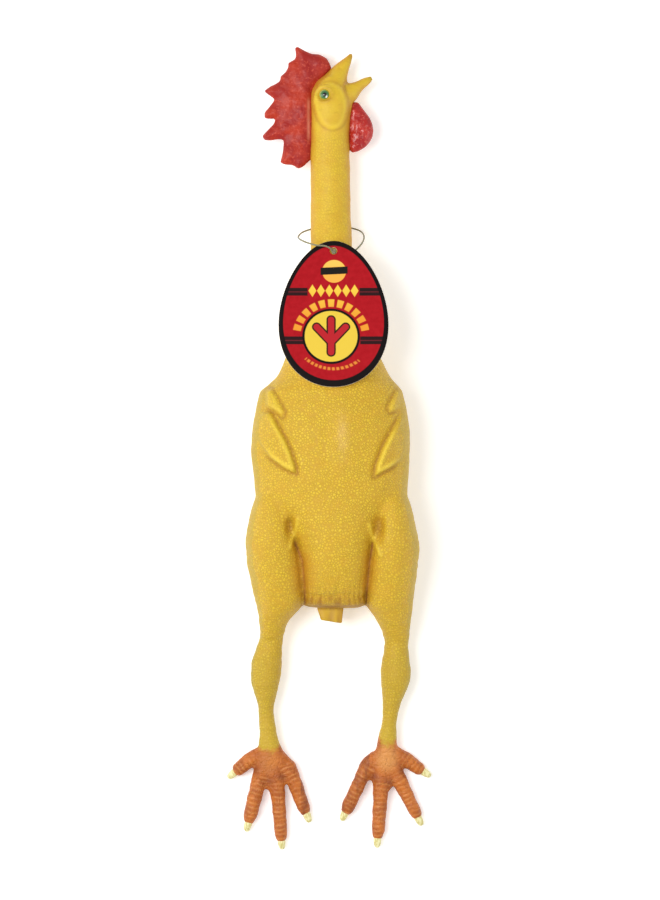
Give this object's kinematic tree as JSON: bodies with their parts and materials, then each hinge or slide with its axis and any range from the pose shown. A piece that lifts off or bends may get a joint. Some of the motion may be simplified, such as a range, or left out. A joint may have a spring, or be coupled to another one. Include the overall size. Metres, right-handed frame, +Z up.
{
  "type": "rubber chicken",
  "caption": "Limp novelty chicken of hollow rubber lying on its back, with comb, wattle, open beak, folded wings, flexing neck and legs, and a hang tag on a cord loop.",
  "frame": {"origin": "on the flat of the back, under the middle of the body, where it rests on a table", "axes": "+Z up out of the breast, +Y along the body towards the head, +X to the right seen from above"},
  "size_m": [0.1378, 0.5388, 0.0683],
  "materials": {
    "skin": "satin",
    "foot_skin": "satin",
    "red_skin": "gloss",
    "claw": "satin",
    "eye": "gloss",
    "tag": "satin",
    "cord": "matte"
  },
  "bodies": {
    "torso": {"torso_shell": "skin", "tail_plug": "skin", "wing_left": "skin", "wing_right": "skin"},
    "neck_root": {"neck_root": "skin"},
    "neck_mid": {"neck_mid": "skin"},
    "neck_top": {"neck_top": "skin"},
    "head": {"head_shell": "skin", "upper_beak": "skin", "eye_left": "eye", "eye_right": "eye"},
    "jaw": {"lower_beak": "skin"},
    "comb": {"comb": "red_skin"},
    "wattle": {"wattle": "red_skin"},
    "loop": {"tag_loop": "cord", "loop_knot": "cord"},
    "tag": {"tag_card": "tag"},
    "thigh_left": {"thigh_left": "skin"},
    "hock_left": {"hock_left": "skin"},
    "shank_left": {"shank_left": "skin"},
    "foot_left": {"foot_left": "foot_skin"},
    "inner_toe_left": {"inner_toe_left": "foot_skin", "inner_claw_left": "claw"},
    "middle_toe_left": {"middle_toe_left": "foot_skin", "middle_claw_left": "claw"},
    "outer_toe_left": {"outer_toe_left": "foot_skin", "outer_claw_left": "claw"},
    "hallux_toe_left": {"hallux_toe_left": "foot_skin", "hallux_claw_left": "claw"},
    "thigh_right": {"thigh_right": "skin"},
    "hock_right": {"hock_right": "skin"},
    "shank_right": {"shank_right": "skin"},
    "foot_right": {"foot_right": "foot_skin"},
    "inner_toe_right": {"inner_toe_right": "foot_skin", "inner_claw_right": "claw"},
    "middle_toe_right": {"middle_toe_right": "foot_skin", "middle_claw_right": "claw"},
    "outer_toe_right": {"outer_toe_right": "foot_skin", "outer_claw_right": "claw"},
    "hallux_toe_right": {"hallux_toe_right": "foot_skin", "hallux_claw_right": "claw"}
  },
  "joints": [
    {"name": "neck_nod", "type": "hinge", "parent": "torso", "child": "neck_root", "pos_m": [0, 0.096, 0.0295], "axis": [1, 0, 0], "range_deg": [-40, 0], "stiffness_Nm_per_rad": 0.08},
    {"name": "neck_sway", "type": "hinge", "parent": "neck_root", "child": "neck_mid", "pos_m": [0, 0.12339, 0.02368], "axis": [0, 0, 1], "range_deg": [-20, 20], "stiffness_Nm_per_rad": 0.06},
    {"name": "neck_curl", "type": "hinge", "parent": "neck_mid", "child": "neck_top", "pos_m": [0, 0.15958, 0.01599], "axis": [1, 0, 0], "range_deg": [-45, 50], "stiffness_Nm_per_rad": 0.06},
    {"name": "head_turn", "type": "hinge", "parent": "neck_top", "child": "head", "pos_m": [0, 0.18658, 0.01599], "axis": [0, 1, 0], "range_deg": [-100, 20], "stiffness_Nm_per_rad": 0.03},
    {"name": "jaw_close", "type": "hinge", "parent": "head", "child": "jaw", "pos_m": [0.01, 0.24593, 0.01599], "axis": [0, 0, 1], "range_deg": [-6, 55], "stiffness_Nm_per_rad": 0.01},
    {"name": "comb_flap", "type": "hinge", "parent": "head", "child": "comb", "pos_m": [-0.0162, 0.21458, 0.01599], "axis": [0, 1, 0], "range_deg": [-25, 25], "stiffness_Nm_per_rad": 0.02},
    {"name": "wattle_flap", "type": "hinge", "parent": "head", "child": "wattle", "pos_m": [0.0154, 0.21458, 0.01599], "axis": [0, 1, 0], "range_deg": [-30, 30], "stiffness_Nm_per_rad": 0.01},
    {"name": "loop_turn", "type": "hinge", "parent": "neck_mid", "child": "loop", "pos_m": [0, 0.12339, 0.02368], "axis": [0, 0.9781, -0.2079], "range_deg": [-12, 12]},
    {"name": "tag_lift", "type": "hinge", "parent": "loop", "child": "tag", "pos_m": [0.001, 0.132, 0.0435], "axis": [-1, 0, 0], "range_deg": [0, 75]},
    {"name": "hip_swing_left", "type": "hinge", "parent": "torso", "child": "thigh_left", "pos_m": [-0.041, -0.062, 0.029], "axis": [-1, 0, 0], "range_deg": [-30, 75], "stiffness_Nm_per_rad": 0.12},
    {"name": "knee_sway_left", "type": "hinge", "parent": "thigh_left", "child": "hock_left", "pos_m": [-0.041, -0.127, 0.015], "axis": [0, 0, -1], "range_deg": [-3, 20], "stiffness_Nm_per_rad": 0.04},
    {"name": "hock_fold_left", "type": "hinge", "parent": "hock_left", "child": "shank_left", "pos_m": [-0.0455, -0.167, 0.0116], "axis": [-1, 0, 0], "range_deg": [-45, 45], "stiffness_Nm_per_rad": 0.03},
    {"name": "ankle_fold_left", "type": "hinge", "parent": "shank_left", "child": "foot_left", "pos_m": [-0.0425, -0.2, 0.0086], "axis": [-1, 0, 0], "range_deg": [-35, 35], "stiffness_Nm_per_rad": 0.02},
    {"name": "inner_toe_curl_left", "type": "hinge", "parent": "foot_left", "child": "inner_toe_left", "pos_m": [-0.0296, -0.2131, 0.0058], "axis": [-0.9336, -0.3584, 0], "range_deg": [-35, 35], "stiffness_Nm_per_rad": 0.005},
    {"name": "middle_toe_curl_left", "type": "hinge", "parent": "foot_left", "child": "middle_toe_left", "pos_m": [-0.0372, -0.2238, 0.0058], "axis": [-0.9968, -0.0802, 0], "range_deg": [-35, 35], "stiffness_Nm_per_rad": 0.005},
    {"name": "outer_toe_curl_left", "type": "hinge", "parent": "foot_left", "child": "outer_toe_left", "pos_m": [-0.0481, -0.2188, 0.0058], "axis": [-0.9703, 0.2419, 0], "range_deg": [-35, 35], "stiffness_Nm_per_rad": 0.005},
    {"name": "hallux_toe_curl_left", "type": "hinge", "parent": "foot_left", "child": "hallux_toe_left", "pos_m": [-0.0557, -0.2056, 0.0058], "axis": [-0.6691, 0.7431, 0], "range_deg": [-35, 35], "stiffness_Nm_per_rad": 0.005},
    {"name": "hip_swing_right", "type": "hinge", "parent": "torso", "child": "thigh_right", "pos_m": [0.041, -0.062, 0.029], "axis": [-1, 0, 0], "range_deg": [-30, 75], "stiffness_Nm_per_rad": 0.12},
    {"name": "knee_sway_right", "type": "hinge", "parent": "thigh_right", "child": "hock_right", "pos_m": [0.042, -0.127, 0.015], "axis": [0, 0, 1], "range_deg": [-3, 20], "stiffness_Nm_per_rad": 0.04},
    {"name": "hock_fold_right", "type": "hinge", "parent": "hock_right", "child": "shank_right", "pos_m": [0.0395, -0.167, 0.0116], "axis": [-1, 0, 0], "range_deg": [-45, 45], "stiffness_Nm_per_rad": 0.03},
    {"name": "ankle_fold_right", "type": "hinge", "parent": "shank_right", "child": "foot_right", "pos_m": [0.036, -0.2, 0.0086], "axis": [-1, 0, 0], "range_deg": [-35, 35], "stiffness_Nm_per_rad": 0.02},
    {"name": "inner_toe_curl_right", "type": "hinge", "parent": "foot_right", "child": "inner_toe_right", "pos_m": [0.0237, -0.2131, 0.0058], "axis": [-0.9063, 0.4226, 0], "range_deg": [-35, 35], "stiffness_Nm_per_rad": 0.005},
    {"name": "middle_toe_curl_right", "type": "hinge", "parent": "foot_right", "child": "middle_toe_right", "pos_m": [0.033, -0.2245, 0.0058], "axis": [-0.9981, 0.061, 0], "range_deg": [-35, 35], "stiffness_Nm_per_rad": 0.005},
    {"name": "outer_toe_curl_right", "type": "hinge", "parent": "foot_right", "child": "outer_toe_right", "pos_m": [0.0444, -0.2202, 0.0058], "axis": [-0.8988, -0.4384, 0], "range_deg": [-35, 35], "stiffness_Nm_per_rad": 0.005},
    {"name": "hallux_toe_curl_right", "type": "hinge", "parent": "foot_right", "child": "hallux_toe_right", "pos_m": [0.0496, -0.2052, 0.0058], "axis": [-0.5878, -0.809, 0], "range_deg": [-35, 35], "stiffness_Nm_per_rad": 0.005}
  ]
}
